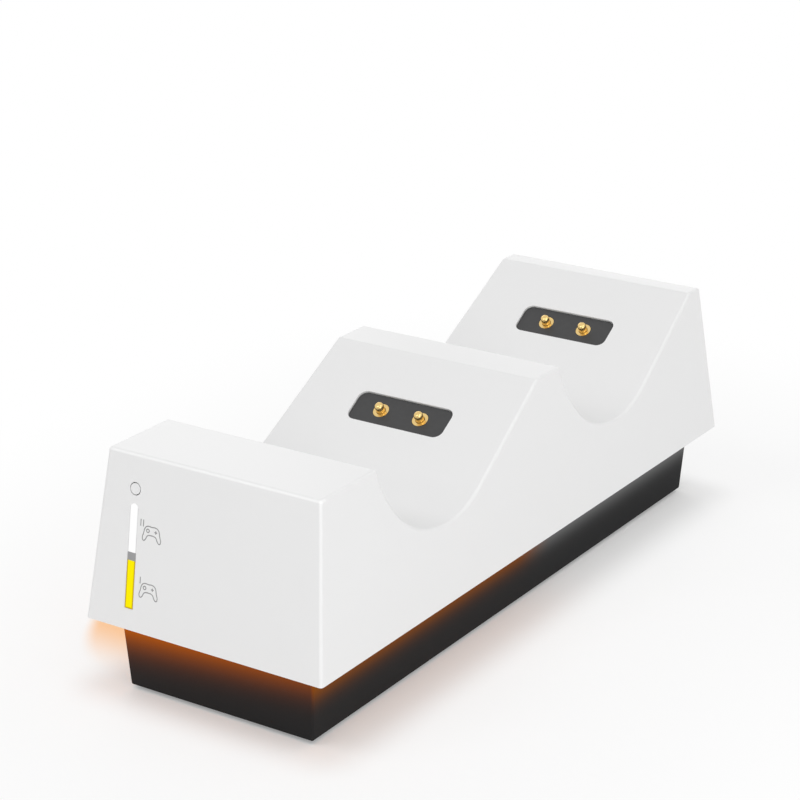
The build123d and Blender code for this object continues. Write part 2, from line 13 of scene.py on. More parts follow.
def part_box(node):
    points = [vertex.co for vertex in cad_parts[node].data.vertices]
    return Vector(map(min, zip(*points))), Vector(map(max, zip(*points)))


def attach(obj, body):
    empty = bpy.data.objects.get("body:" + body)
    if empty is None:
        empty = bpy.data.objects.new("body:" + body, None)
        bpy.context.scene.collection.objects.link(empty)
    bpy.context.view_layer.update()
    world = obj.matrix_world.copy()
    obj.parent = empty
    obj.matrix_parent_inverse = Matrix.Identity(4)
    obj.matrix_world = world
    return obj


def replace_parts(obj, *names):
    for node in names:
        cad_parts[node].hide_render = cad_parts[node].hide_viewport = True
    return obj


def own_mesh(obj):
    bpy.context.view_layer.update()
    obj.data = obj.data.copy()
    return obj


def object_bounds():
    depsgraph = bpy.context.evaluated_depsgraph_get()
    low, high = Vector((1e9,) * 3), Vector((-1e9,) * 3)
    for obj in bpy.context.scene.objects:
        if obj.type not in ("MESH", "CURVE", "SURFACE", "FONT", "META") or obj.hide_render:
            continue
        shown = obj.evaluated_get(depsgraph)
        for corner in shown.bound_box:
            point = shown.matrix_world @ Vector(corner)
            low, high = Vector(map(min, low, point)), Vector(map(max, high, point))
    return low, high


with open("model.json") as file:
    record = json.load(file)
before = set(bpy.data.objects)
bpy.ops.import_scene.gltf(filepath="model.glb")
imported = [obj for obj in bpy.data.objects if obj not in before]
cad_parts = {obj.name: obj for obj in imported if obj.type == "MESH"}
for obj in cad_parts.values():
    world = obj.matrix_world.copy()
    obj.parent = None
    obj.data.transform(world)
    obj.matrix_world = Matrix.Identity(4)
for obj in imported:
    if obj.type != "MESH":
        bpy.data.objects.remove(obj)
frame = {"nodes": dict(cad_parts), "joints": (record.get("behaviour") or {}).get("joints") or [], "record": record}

cad_low, cad_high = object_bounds()
mm = 0.001

# Places on the dock
front_y = cad_low.y
top_z = cad_high.z
rim_z = 16.5 * mm
face_inward = next(joint["axis"] for joint in frame["joints"] if joint["name"] == "button_press")
face_lean = asin(-face_inward[2])
top_front_y = front_y + (top_z - rim_z) * tan(face_lean)
crest_y = (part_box("front_light_guide")[1].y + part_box("rear_light_guide")[0].y) / 2
bar_x = (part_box("charging_lens")[0].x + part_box("charging_lens")[1].x) / 2
bar_half = 1.05 * mm
bar_foot = 4.4 * mm                     # bar's lower end, up the face from the rim
button_up = 29.17 * mm                  # button's middle, up the face from the rim
groove_reach = 1.42 * mm                # just past the groove round the button
groove_depth = 3.0 * mm
groove_skin = 0.04 * mm                 # margin at both ends of its depth, so that the face stays plain
base_half = 23.65 * mm                  # half the base's width at the rim
glow_top_z = rim_z - 1.7 * mm           # where the base's wall comes into view under the rim

# Shell, in linear light like all colours here
shell_white = (0.83, 0.83, 0.83, 1)
# painted highlight: the rounded edges are lightened towards this white
edge_highlight_white = (0.92, 0.92, 0.92, 1)
# painted shade on the walls of the groove round the button
groove_shade_grey = (0.76, 0.76, 0.76, 1)
upright_highlight_share = 0.3125                  # how far the upright edges go towards the painted highlight's white
upright_highlight_narrow = 5                      # more keeps the painted highlight closer to the middle of the round
brow_highlight_depth = 1.5 * mm                   # how far back the painted highlight on the front's upper edge goes

# Base, and the glow painted down its walls in place of the light under the rim
base_black = (0.021, 0.021, 0.0215, 1)
base_under_painted_glow = (0.008, 0.004, 0.0, 1)    # the moulding's colour darkened to amber-black under the painted glow
front_painted_glow = (0.464, 0.090, 0.0, 1)     # on the front wall, at its left end
side_painted_glow = (0.263, 0.066, 0.0, 1)      # on the long walls beside it
# painted glow on the rear zone's walls
rear_painted_glow = (0.165, 0.165, 0.165, 1)
front_reach = 4.43 * mm                 # how far down the front wall the glow has faded to a third
side_reach = 4.47 * mm                  # the same down a long wall
front_curve = 1.56                      # 1 fades evenly, more holds on longer and then falls faster
side_curve = 2.24
right_fade = 0.53                       # how much weaker the front's glow is at its right end
right_short = 0.23                      # how much less far it reaches there
zone_blend = 8 * mm                     # the amber turns white this far to both sides of the middle crest

# Light guides and lenses
no_light = (0, 0, 0, 1)
amber = (1.0, 0.40, 0.07, 1)
guide_white = (1.0, 0.98, 0.94, 1)
guide_strength = 1.0
lens_lit = (1.0, 1.0, 1.0, 1)
lens_edge = (0.55, 0.55, 0.55, 1)
lens_edge_width = 0.28 * mm
yellow_lit = (1.0, 0.86, 0.0, 1)
yellow_edge = (0.33, 0.14, 0.004, 1)
yellow_edge_width = 0.46 * mm
lens_strength = 0.92

# Plain plastics: colour, second tone, grain in mm, roughness, coat
plastics = {
    "divider_grey": ((0.33, 0.33, 0.335, 1), (0.30, 0.30, 0.305, 1), 0.2, 0.5, 0.0),
    "lamp_cream": ((0.9, 0.85, 0.6, 1), (0.85, 0.72, 0.35, 1), 0.3, 0.25, 0.5),
    "chip_black": ((0.02, 0.02, 0.02, 1), (0.035, 0.035, 0.036, 1), 0.12, 0.55, 0.0),
    "coil_grey": ((0.13, 0.13, 0.14, 1), (0.2, 0.2, 0.21, 1), 0.15, 0.6, 0.0),
    "socket_ivory": ((0.8, 0.77, 0.68, 1), (0.74, 0.7, 0.6, 1), 0.2, 0.4, 0.0),
    "block_black": ((0.025, 0.025, 0.026, 1), (0.035, 0.035, 0.036, 1), 0.2, 0.48, 0.0),
    "print_grey": ((0.24, 0.24, 0.24, 1), (0.27, 0.27, 0.27, 1), 0.1, 0.5, 0.0),
}

# Metals: colour, second tone, roughness, draw lines in mm
metals = {
    "contact_gold": ((0.83, 0.61, 0.26, 1), (0.72, 0.5, 0.2, 1), 0.24, 0.2),
    "inlet_steel": ((0.6, 0.6, 0.61, 1), (0.55, 0.55, 0.56, 1), 0.3, 0.15),
    "screw_steel": ((0.42, 0.42, 0.43, 1), (0.34, 0.34, 0.34, 1), 0.36, 0.2),
    "spring_steel": ((0.55, 0.55, 0.56, 1), (0.45, 0.45, 0.46, 1), 0.28, 0.1),
}

# Boards, feet and leads
lacquer_green = (0.006, 0.062, 0.022, 1)
track_green = (0.014, 0.125, 0.045, 1)
tinned = (0.5, 0.48, 0.43, 1)
track_half_pitch = 0.45 * mm
rubber_black = (0.026, 0.026, 0.026, 1)
rubber_dusty = (0.05, 0.05, 0.048, 1)
rib_half_pitch = 0.5 * mm
ribbon_dark = (0.22, 0.22, 0.23, 1)
ribbon_light = (0.4, 0.4, 0.42, 1)
wire_half_pitch = 0.32 * mm

# Printed signs on the front face
sign_x = -13.63 * mm
sign_ups = {"first_bay_sign": 9.1 * mm, "second_bay_sign": 20.88 * mm}
tally_x = -15.8 * mm                    # the stroke next to the sign
tally_up = 1.15 * mm                    # the strokes' foot above the sign's middle
tally_pitch = 0.66 * mm
tally_height = 1.4 * mm
print_width = 0.21 * mm
print_proud = 0.02 * mm

# Camera: the photograph's view
camera_place = (271.4 * mm, -426.4 * mm, 230.7 * mm)
camera_azimuth = 33.23
camera_elevation = 20.36
camera_lens = 111.26
camera_sensor = 36.0
camera_near = 10 * mm

# Floor
floor_half = 4.0
floor_pale = (0.93, 0.93, 0.93, 1)
floor_bright = 0.72                     # share of plain white close to the dock
foot_bright = 0.3                       # share of that right at the dock's foot
foot_reach = 12 * mm                    # where the floor at the foot has eased to the level around it
plain_start = 20 * mm                   # distance from the dock at which the floor starts to turn plain
plain_end = 120 * mm                    # and at which it is plain white
# colour of the amber pool of light painted on the floor
painted_pool_colour = (1.0, 0.53, 0.21, 1)
painted_pool_share = 0.78                      # share of plain emission, in the painted pool's colour, where the amber pool is painted beside the dock
pool_middle = (-24 * mm, -30 * mm)      # the painted amber pool is an oval on the dock's left
pool_reach = (31.5 * mm, 47 * mm)
pool_front_y = -55 * mm                 # full strength behind this line, none in front of the fade
pool_fade = 22 * mm
pool_rim = (0.94, 1.05)                 # where its edge starts and ends, as shares of its reach
pool_blur = 0.5                         # how much further in the edge starts towards the rear

# Lamps: place, side, watts, and the spot that they point at
room_level = 0.62
dock_middle = (0, 0, 30 * mm)
tower_top = (-20 * mm, -65 * mm, top_z)
studio_lamps = {
    "key_lamp": ((0.385, -0.214, 0.90), 0.5, 1.2, dock_middle),
    "fill_lamp": ((0.80, -0.55, 0.25), 0.4, 2.45, dock_middle),
    "brow_lamp": ((-0.34, -0.53, 0.90), 0.3, 1.3, dock_middle),
    "rear_lamp": ((-0.30, 0.95, 0.14), 0.5, 1.2, dock_middle),
    "back_lamp": ((-0.254, 0.226, 0.197), 0.14, 0.10, tower_top),
}
pool_lamp_watts = 0.004
pool_lamp_colour = (1.0, 0.34, 0.02)


def node_maths(operation, swapped=False):
    """Operator that adds one Math node between a wire and another wire or a number."""
    def combine(wire, other=0.0):
        pair = (other, wire) if swapped else (wire, other)
        return wire.finish.node("ShaderNodeMath", {"operation": operation}, dict(enumerate(pair)))
    return combine


class Wire:
    """One output of a shader node, with the usual arithmetic."""
    __add__, __radd__ = node_maths("ADD"), node_maths("ADD", True)
    __sub__, __rsub__ = node_maths("SUBTRACT"), node_maths("SUBTRACT", True)
    __mul__, __rmul__ = node_maths("MULTIPLY"), node_maths("MULTIPLY", True)
    __truediv__, __rtruediv__ = node_maths("DIVIDE"), node_maths("DIVIDE", True)
    __pow__, __rpow__ = node_maths("POWER"), node_maths("POWER", True)
    __lt__, __gt__ = node_maths("LESS_THAN"), node_maths("GREATER_THAN")
    __abs__ = node_maths("ABSOLUTE")
    at_least, at_most = node_maths("MAXIMUM"), node_maths("MINIMUM")

    def __init__(self, finish, socket):
        self.finish = finish
        self.socket = socket


class Finish:
    """A node tree, for a material or for the room, with one method that adds any node."""

    def __init__(self, owner):
        owner.use_nodes = True
        self.owner = owner
        self.tree = owner.node_tree
        self.tree.nodes.clear()

    def node(self, kind, settings=None, sockets=None, output=0):
        added = self.tree.nodes.new(kind)
        for name, value in (settings or {}).items():
            setattr(added, name, value)
        for name, value in (sockets or {}).items():
            if isinstance(value, Wire):
                self.tree.links.new(value.socket, added.inputs[name])
            else:
                added.inputs[name].default_value = value
        return Wire(self, added.outputs[output]) if added.outputs else None

    def place(self):
        """Position on the piece, in metres of the dock's own frame."""
        return self.node("ShaderNodeTexCoord", output="Object")

    def facing(self):
        return self.node("ShaderNodeNewGeometry", output="Normal")

    def axes(self, vector):
        split = self.node("ShaderNodeSeparateXYZ", None, {0: vector})
        return [Wire(self, socket) for socket in split.socket.node.outputs]

    def looked_at(self):
        """1 where the camera looks, also by way of metal or glass, and 0 for light that falls on things."""
        path = self.node("ShaderNodeLightPath").socket.node.outputs
        camera, glossy, transmission = (
            Wire(self, path[f"Is {ray} Ray"]) for ray in ("Camera", "Glossy", "Transmission"))
        return (camera + glossy + transmission).at_most(1)

    def noise(self, size, detail=2.0, vector=None):
        """Soft noise from 0 to 1, with lumps of about this size."""
        return self.node(
            "ShaderNodeTexNoise", None,
            {"Vector": vector or self.place(), "Scale": 1 / size, "Detail": detail})

    def stripes(self, distance, half_pitch):
        """Rises from 0 to 1 over half a pitch, falls back over the other half, and so on."""
        return self.node(
            "ShaderNodeMath", {"operation": "PINGPONG"}, {0: distance, 1: half_pitch}) / half_pitch

    def ease(self, value, start, end):
        """0 before start, 1 after end, smooth between."""
        return self.node(
            "ShaderNodeMapRange", {"interpolation_type": "SMOOTHSTEP"},
            {"Value": value, "From Min": start, "From Max": end})

    def tint(self, share, first, second):
        return self.node(
            "ShaderNodeMix", {"data_type": "RGBA"}, {0: share, 6: first, 7: second}, output=2)

    def bump(self, height, depth, strength):
        return self.node(
            "ShaderNodeBump", None, {"Strength": strength, "Distance": depth, "Height": height})

    def surface(self, **sockets):
        """Principled surface; a socket's name is written with underscores."""
        named = {name.replace("_", " "): value for name, value in sockets.items()}
        return self.output(self.node("ShaderNodeBsdfPrincipled", None, named))

    def output(self, shader, kind="ShaderNodeOutputMaterial"):
        self.node(kind, None, {"Surface": shader})
        return self.owner


def new_finish(name):
    return Finish(bpy.data.materials.new(name))


def toned(colour, share):
    return tuple(share * channel for channel in colour[:3]) + (1,)


def bar_axes(finish):
    """Distances across from the bar's middle line, up the front face from the rim, and in behind it."""
    x, y, z = finish.axes(finish.place())
    up = (y - front_y) * sin(face_lean) + (z - rim_z) * cos(face_lean)
    inward = (y - front_y) * cos(face_lean) - (z - rim_z) * sin(face_lean)
    return x - bar_x, up, inward


def painted_groove_shade(finish):
    """Where shade is painted on the walls of the groove round the button: 1 there, 0 on the face itself."""
    across, up, inward = bar_axes(finish)
    rise = up - button_up
    behind = abs(inward - groove_depth / 2) < groove_depth / 2 - groove_skin
    return (across * across + rise * rise < groove_reach ** 2) * behind


def moulded_shell(name):
    """Satin white moulding: fine eroded grain, faint flow mottling, a painted highlight along the edges, and
    painted shade on the walls of the groove round the button.
    """
    finish = new_finish(name)
    across, _, up = finish.axes(finish.facing())
    y = finish.axes(finish.place())[1]
    side = abs(across)
    # painted highlight along the upright rounded edges and along the front's upper edge
    upright = (4 * side * (1 - side)).at_least(0) ** upright_highlight_narrow
    tilt = (up - sin(face_lean)) / (1 - sin(face_lean))
    brow_highlight = (4 * tilt * (1 - tilt)).at_least(0) * (y < top_front_y + brow_highlight_depth)
    edge = (upright_highlight_share * upright + brow_highlight).at_most(1)
    mottle = finish.noise(14 * mm, 3)
    grain = finish.noise(0.16 * mm)
    plain = finish.tint(mottle * 0.5, shell_white, toned(shell_white, 0.985))
    edge_highlighted = finish.tint(edge, plain, edge_highlight_white)
    return finish.surface(
        # painted shade in the groove round the button
        Base_Color=finish.tint(painted_groove_shade(finish), edge_highlighted, groove_shade_grey),
        Roughness=0.36 + 0.08 * grain,
        Normal=finish.bump(grain, 0.004 * mm, 0.35))


def moulded_base():
    """Black moulding with a fine texture; a glow is painted down its walls in its emission and colour, in place of
    the light under the rim.
    """
    finish = new_finish("base_black")
    x, y, z = finish.axes(finish.place())
    side = abs(finish.axes(finish.facing())[0])
    right = (1 - side) * (y < 0) * (x / base_half + 1) / 2
    depth = (glow_top_z - z).at_least(0)
    reach = (front_reach + (side_reach - front_reach) * side) * (1 - right_short * right)
    curve = front_curve + (side_curve - front_curve) * side
    # painted glow, fading down the walls from under the rim
    painted_wash = e ** (0 - (depth / reach) ** curve) * (1 - right_fade * right)
    rear = finish.ease(y, crest_y - zone_blend, crest_y + zone_blend)
    amber_painted_glow = finish.tint(side, front_painted_glow, side_painted_glow)
    grain = finish.noise(0.2 * mm, 3)
    speckle = finish.noise(0.5 * mm)
    plain = finish.tint(speckle * 0.4, base_black, toned(base_black, 1.4))
    return finish.surface(
        Base_Color=finish.tint(painted_wash * (1 - rear), plain, base_under_painted_glow),
        Roughness=0.46 + 0.16 * grain,
        Specular_IOR_Level=0.03,
        Normal=finish.bump(grain, 0.006 * mm, 0.5),
        Emission_Color=finish.tint(painted_wash, no_light, finish.tint(rear, amber_painted_glow, rear_painted_glow)),
        Emission_Strength=1.0)


def light_guide(name, colour):
    """Frosted guide, lit from inside with a faint unevenness between its lamps."""
    finish = new_finish(name)
    cloud = finish.noise(9 * mm, 1)
    frost = finish.noise(0.3 * mm)
    return finish.surface(
        Base_Color=colour,
        Roughness=0.5 + 0.2 * frost,
        Emission_Color=finish.tint(cloud * 0.35, colour, toned(colour, 0.7)),
        Emission_Strength=guide_strength)


def lit_lens(name, lit, edge_colour, edge_width):
    """Clear lens with lamps behind it: bright in the middle, deeper along its edges."""
    finish = new_finish(name)
    across, up, _ = bar_axes(finish)
    rim = finish.ease(abs(across), bar_half - edge_width, bar_half)
    rim = rim.at_least(1 - finish.ease(up, bar_foot, bar_foot + edge_width))
    haze = finish.noise(1.2 * mm)
    return finish.surface(
        Base_Color=toned(lit, 0.1),
        Roughness=0.22 + 0.1 * haze,
        Specular_IOR_Level=0.03,
        Emission_Color=finish.tint(rim, finish.tint(haze * 0.08, lit, edge_colour), edge_colour),
        Emission_Strength=lens_strength)


def satin_plastic(name, colour, shade, grain_size, roughness, coat):
    """Moulded plastic, resin or ink: two close tones, a grain and a varied sheen."""
    finish = new_finish(name)
    cloud = finish.noise(6 * grain_size, 3)
    grain = finish.noise(grain_size)
    return finish.surface(
        Base_Color=finish.tint(cloud, colour, shade),
        Roughness=roughness - 0.06 + 0.12 * grain,
        Coat_Weight=coat,
        Normal=finish.bump(grain, 0.03 * grain_size, 0.5))


def worn_metal(name, colour, shade, roughness, grain_size):
    """Plated or drawn metal with fine draw lines and a slightly uneven tone."""
    finish = new_finish(name)
    stretched = finish.node(
        "ShaderNodeMapping", None, {"Vector": finish.place(), "Scale": (1, 1, 0.08)})
    lines = finish.noise(grain_size, 3, stretched)
    cloud = finish.noise(8 * grain_size)
    return finish.surface(
        Base_Color=finish.tint(cloud, colour, shade),
        Metallic=1.0,
        Roughness=roughness - 0.06 + 0.14 * lines,
        Normal=finish.bump(lines, 0.02 * grain_size, 0.3))


def lacquered_board():
    """Green circuit board: copper tracks under the lacquer, in patches that run one way or the other,
    and small tinned through-holes."""
    finish = new_finish("board_green")
    place = finish.place()
    x, y, z = finish.axes(place)
    patches = finish.node(
        "ShaderNodeTexVoronoi", {"distance": "CHEBYCHEV"},
        {"Vector": place, "Scale": 1 / (6 * mm), "Randomness": 0.9}, output="Color")
    lengthways = finish.axes(patches)[0] > 0.5
    long_tracks = finish.stripes(x, track_half_pitch) * lengthways
    cross_tracks = finish.stripes(y + z, track_half_pitch) * (1 - lengthways)
    track = finish.ease(long_tracks + cross_tracks, 0.5, 0.6)
    from_hole = finish.node(
        "ShaderNodeTexVoronoi", None,
        {"Vector": place, "Scale": 1 / (3.2 * mm), "Randomness": 0.5}, output="Distance")
    hole = from_hole < 0.13
    lacquer = finish.noise(0.4 * mm, 3)
    return finish.surface(
        Base_Color=finish.tint(hole, finish.tint(track, lacquer_green, track_green), tinned),
        Roughness=0.3 + 0.12 * lacquer,
        Coat_Weight=0.25,
        Normal=finish.bump(track * (1 - hole), 0.02 * mm, 0.6))


def ribbed_rubber():
    """Matt black foot strip with fine ribs across its length."""
    finish = new_finish("foot_rubber")
    x = finish.axes(finish.place())[0]
    ribs = finish.ease(finish.stripes(x, rib_half_pitch), 0.25, 0.75)
    dust = finish.noise(0.8 * mm, 3)
    return finish.surface(
        Base_Color=finish.tint(dust, rubber_black, rubber_dusty),
        Roughness=0.72 + 0.16 * dust,
        Normal=finish.bump(ribs, 0.15 * mm, 0.8))


def ribbon_cable():
    """Flat grey lead: parallel wires side by side across its width."""
    finish = new_finish("ribbon_grey")
    x = finish.axes(finish.place())[0]
    wires = finish.stripes(x, wire_half_pitch)
    grain = finish.noise(0.2 * mm)
    return finish.surface(
        Base_Color=finish.tint(wires, ribbon_dark, ribbon_light),
        Roughness=0.45 + 0.15 * grain,
        Normal=finish.bump(wires, 0.15 * mm, 0.8))


def dress_nodes():
    """Gives every solid of the frame its finish, by the slot that the record names for it."""
    finishes = {
        "shell_white": moulded_shell("shell_white"),
        "button_white": moulded_shell("button_white"),
        "base_black": moulded_base(),
        "guide_amber": light_guide("guide_amber", amber),
        "guide_white": light_guide("guide_white", guide_white),
        "lens_white": lit_lens("lens_white", lens_lit, lens_edge, lens_edge_width),
        "lens_yellow": lit_lens("lens_yellow", yellow_lit, yellow_edge, yellow_edge_width),
        "board_green": lacquered_board(),
        "ribbon_grey": ribbon_cable(),
        "foot_rubber": ribbed_rubber(),
    }
    for slot, (colour, shade, grain, roughness, coat) in plastics.items():
        finishes[slot] = satin_plastic(slot, colour, shade, grain * mm, roughness, coat)
    for slot, (colour, shade, roughness, grain) in metals.items():
        finishes[slot] = worn_metal(slot, colour, shade, roughness, grain * mm)
    for part in frame["record"]["subparts"]:
        mesh = frame["nodes"][part["node"]].data
        mesh.materials.clear()
        mesh.materials.append(finishes[part["material_slot"]])
    return finishes


def put(name, data):
    """A new object in the scene."""
    added = bpy.data.objects.new(name, data)
    bpy.context.scene.collection.objects.link(added)
    return added


def new_piece(name, mesh, finish):
    """Puts a mesh on the dock as a piece of its own."""
    piece = put(name, mesh)
    mesh.materials.append(finish)
    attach(piece, "dock")
    return piece


def closed_mesh(name, solid):
    """Writes an edited solid to a mesh and lets go of it."""
    mesh = bpy.data.meshes.new(name)
    solid.to_mesh(mesh)
    solid.free()
    return mesh


def shown_mesh(drawn):
    """The mesh that an object shows, with its modifier or its curve's thickness."""
    return bpy.data.meshes.new_from_object(
        drawn.evaluated_get(bpy.context.evaluated_depsgraph_get()))


def smooth(mesh):
    for polygon in mesh.polygons:
        polygon.use_smooth = True


def soften(mesh, angle):
    """Smooth shading that keeps edges sharper than this angle."""
    smooth(mesh)
    mesh.set_sharp_from_angle(angle=radians(angle))


def turned(name, profile, steps):
    """Solid turned about the upright axis from (radius, height) points that start and end on it."""
    solid = bmesh.new()
    points = [solid.verts.new((radius, 0, height)) for radius, height in profile]
    for pair in zip(points, points[1:]):
        solid.edges.new(pair)
    bmesh.ops.spin(
        solid, geom=solid.verts[:] + solid.edges[:],
        cent=(0, 0, 0), axis=(0, 0, 1), angle=2 * pi, steps=steps)
    bmesh.ops.remove_doubles(solid, verts=solid.verts, dist=0.001 * mm)
    bmesh.ops.recalc_face_normals(solid, faces=solid.faces)
    return closed_mesh(name, solid)


def cut_away(name, body, tool):
    """The first mesh with the second one cut out of it. The second may cross itself."""
    both = [put(name, mesh) for mesh in (body, tool)]
    cut = both[0].modifiers.new("cut", "BOOLEAN")
    cut.operation = "DIFFERENCE"
    cut.object = both[1]
    cut.solver = "EXACT"
    cut.use_self = True
    mesh = shown_mesh(both[0])
    for each in both:
        bpy.data.objects.remove(each)
    return mesh


def drive_recess(head_face_z):
    """Cross-shaped driver recess, open downwards and narrowing upwards."""
    length, width, height, narrowing = 3.0 * mm, 0.85 * mm, 1.9 * mm, 0.55
    solid = bmesh.new()
    for turn in (0, pi / 2):
        arm = bmesh.ops.create_cube(solid, size=1)["verts"]
        for point in arm:
            taper = narrowing if point.co.z > 0 else 1.0
            x, y, z = point.co
            point.co = (x * length * taper, y * width * taper, z * height)
        bmesh.ops.rotate(solid, verts=arm, cent=(0, 0, 0), matrix=Matrix.Rotation(turn, 3, "Z"))
        bmesh.ops.translate(solid, verts=arm, vec=(0, 0, head_face_z))
    return closed_mesh("drive_recess", solid)


def fit_case_screws(steel):
    """Six pan-head thread-forming screws, seen in their wells from below."""
    low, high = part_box("case_screws")
    head, root, crest, tip = 2.5 * mm, 0.95 * mm, 1.25 * mm, 0.4 * mm   # radii
    depth, pitch = 1.8 * mm, 1.1 * mm                                   # of the head and of the thread
    neck, runout, point = 0.4 * mm, 2 * mm, 1.2 * mm                    # lengths without thread
    turn, turn_step = 0.3, 1.1                                          # each stops at another turn
    seat_z = low.z + depth
    length = high.z - seat_z
    profile = [
        (0, -depth), (0.5 * head, -depth), (0.78 * head, -0.92 * depth), (0.93 * head, -0.7 * depth),
        (head, -0.4 * depth), (head, -0.06 * depth), (0.96 * head, 0), (crest, 0)]
    for ring in range(int((length - runout) / pitch)):
        start = neck + ring * pitch
        profile += [(root, start), (root, start + 0.45 * pitch), (crest, start + 0.72 * pitch)]
    profile += [(root, length - point), (tip, length), (0, length)]
    screw = cut_away("case_screw", turned("case_screw", profile, 40), drive_recess(-depth))
    solid = bmesh.new()
    for x in (low.x + head, high.x - head):
        for y in (low.y + head, crest_y, high.y - head):
            copy = screw.copy()
            copy.transform(Matrix.Translation((x, y, seat_z)) @ Matrix.Rotation(turn, 4, "Z"))
            solid.from_mesh(copy)
            turn += turn_step
    mesh = closed_mesh("case_screw_set", solid)
    soften(mesh, 35)
    mesh.materials.clear()
    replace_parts(new_piece("case_screw_set", mesh, steel), "case_screws")


def wound_coil(name, radius, wire, length, turns):
    """Coil spring that stands on Z = 0, its first and last turns wound close as on a real spring."""
    steps, sides = 36, 12
    close_pitch = 1.05 * wire
    open_pitch = (length - wire - 2 * close_pitch) / (turns - 2)
    solid = bmesh.new()
    rings = []
    for step in range(int(turns * steps) + 1):
        turn = step / steps
        close_turns = min(turn, 1) + max(turn - turns + 1, 0)
        open_turns = min(max(turn - 1, 0), turns - 2)
        middle = wire / 2 + close_pitch * close_turns + open_pitch * open_turns
        ring = []
        for side in range(sides):
            angle = 2 * pi * side / sides
            reach = radius + wire / 2 * cos(angle)
            ring.append(solid.verts.new((
                reach * cos(2 * pi * turn), reach * sin(2 * pi * turn), middle + wire / 2 * sin(angle))))
        rings.append(ring)
    for ring, following in zip(rings, rings[1:]):
        for side in range(sides):
            after = (side + 1) % sides
            solid.faces.new((ring[side], following[side], following[after], ring[after]))
    solid.faces.new(rings[0])
    solid.faces.new(rings[-1])
    bmesh.ops.recalc_face_normals(solid, faces=solid.faces)
    mesh = closed_mesh(name, solid)
    soften(mesh, 50)
    return mesh


def fit_contact_springs(steel):
    """A coil behind each contact pin, standing on the barrel's floor."""
    wire, turns = 0.36 * mm, 4.5
    across = Vector((1, 0, 0))
    for joint in frame["joints"]:
        contact, found, _ = joint["name"].partition("_contact_press")
        if not found:
            continue
        node = contact + "_spring"
        inward = Vector(joint["axis"])
        upward = across.cross(inward)
        points = [vertex.co for vertex in frame["nodes"][node].data.vertices]
        spans = [
            (min(point.dot(line) for point in points), max(point.dot(line) for point in points))
            for line in (across, upward, inward)]
        length = spans[2][1] - spans[2][0]
        radius = (spans[0][1] - spans[0][0] - wire) / 2
        floor = across * sum(spans[0]) / 2 + upward * sum(spans[1]) / 2 + inward * spans[2][1]
        coil = wound_coil(contact + "_coil", radius, wire, length, turns)
        coil.transform(
            Matrix.Translation(floor) @ Matrix((across, upward, -inward)).transposed().to_4x4())
        piece = new_piece(contact + "_coil", coil, steel)
        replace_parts(piece, node)
        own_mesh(piece)


def fit_inlet_contacts(gold):
    """Plated contact strips on both faces of the inlet's tongue."""
    low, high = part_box("power_inlet")
    strips, pitch, width, length, thickness = 8, 0.72 * mm, 0.4 * mm, 3.4 * mm, 0.06 * mm
    tongue_half, tongue_root, strip_start = 0.35 * mm, low.y + 1.0 * mm, 0.6 * mm
    solid = bmesh.new()
    for face in (-1, 1):
        for strip in range(strips):
            bar = bmesh.ops.create_cube(solid, size=1)["verts"]
            bmesh.ops.scale(solid, verts=bar, vec=(width, length, thickness))
            bmesh.ops.translate(solid, verts=bar, vec=(
                (low.x + high.x) / 2 + (strip - (strips - 1) / 2) * pitch,
                tongue_root + strip_start + length / 2,
                (low.z + high.z) / 2 + face * tongue_half))
    bmesh.ops.bevel(
        solid, geom=solid.edges[:], offset=0.015 * mm, segments=2, profile=0.5, affect="EDGES")
    mesh = closed_mesh("inlet_contacts", solid)
    soften(mesh, 50)
    new_piece("inlet_contacts", mesh, gold)


def front_face():
    """Frame of the leaning front face: X across, Y up the face, Z out of it, from the rim's middle."""
    across = Vector((1, 0, 0))
    up = Vector((0, sin(face_lean), cos(face_lean)))
    turn = Matrix((across, up, across.cross(up))).transposed().to_4x4()
    return Matrix.Translation((0, front_y, rim_z)) @ turn


def printed_lines(name, strokes):
    """Thin printed lines on the front face. A stroke is (points, closed, rounded), in metres on it."""
    data = bpy.data.curves.new(name, "CURVE")
    data.dimensions = "3D"
    data.bevel_depth = print_width / 2
    data.bevel_resolution = 2
    data.resolution_u = 10
    data.use_fill_caps = True
    for points, closed, rounded in strokes:
        spline = data.splines.new("BEZIER")
        spline.bezier_points.add(len(points) - 1)
        spline.use_cyclic_u = closed
        for knot, (x, y) in zip(spline.bezier_points, points):
            knot.co = (x, y, 0)
            knot.handle_left_type = knot.handle_right_type = "AUTO" if rounded else "VECTOR"
    drawn = put(name + "_drawn", data)
    mesh = shown_mesh(drawn)
    bpy.data.objects.remove(drawn)
    flatten = Matrix.Diagonal((1, 1, 2 * print_proud / print_width, 1))
    mesh.transform(front_face() @ flatten)
    smooth(mesh)
    return mesh


def gamepad_strokes(middle_x, middle_y):
    """Plain gamepad sign: a body with two grips, a round stick and a cross pad."""
    half = [(0, 1.40), (0.95, 1.44), (1.58, 1.12), (2.02, -0.15), (2.26, -1.30), (1.98, -1.66),
            (1.60, -1.45), (1.02, -0.55), (0.55, -0.36), (0, -0.34)]
    body = half + [(-x, y) for x, y in reversed(half[1:-1])]
    stick = [(-0.98 + 0.34 * cos(turn * pi / 2), 0.50 + 0.34 * sin(turn * pi / 2)) for turn in range(4)]
    strokes = [
        (body, True, True), (stick, True, True),
        ([(0.64, 0.50), (1.32, 0.50)], False, False), ([(0.98, 0.16), (0.98, 0.84)], False, False)]
    return [
        ([(middle_x + x * mm, middle_y + y * mm) for x, y in points], closed, rounded)
        for points, closed, rounded in strokes]


def tally_strokes(low_y, count):
    """As many upright strokes as the bay's number, the last of them next to the sign."""
    left_x = tally_x - (count - 1) * tally_pitch
    places = [left_x + place * tally_pitch for place in range(count)]
    return [([(x, low_y), (x, low_y + tally_height)], False, False) for x in places]


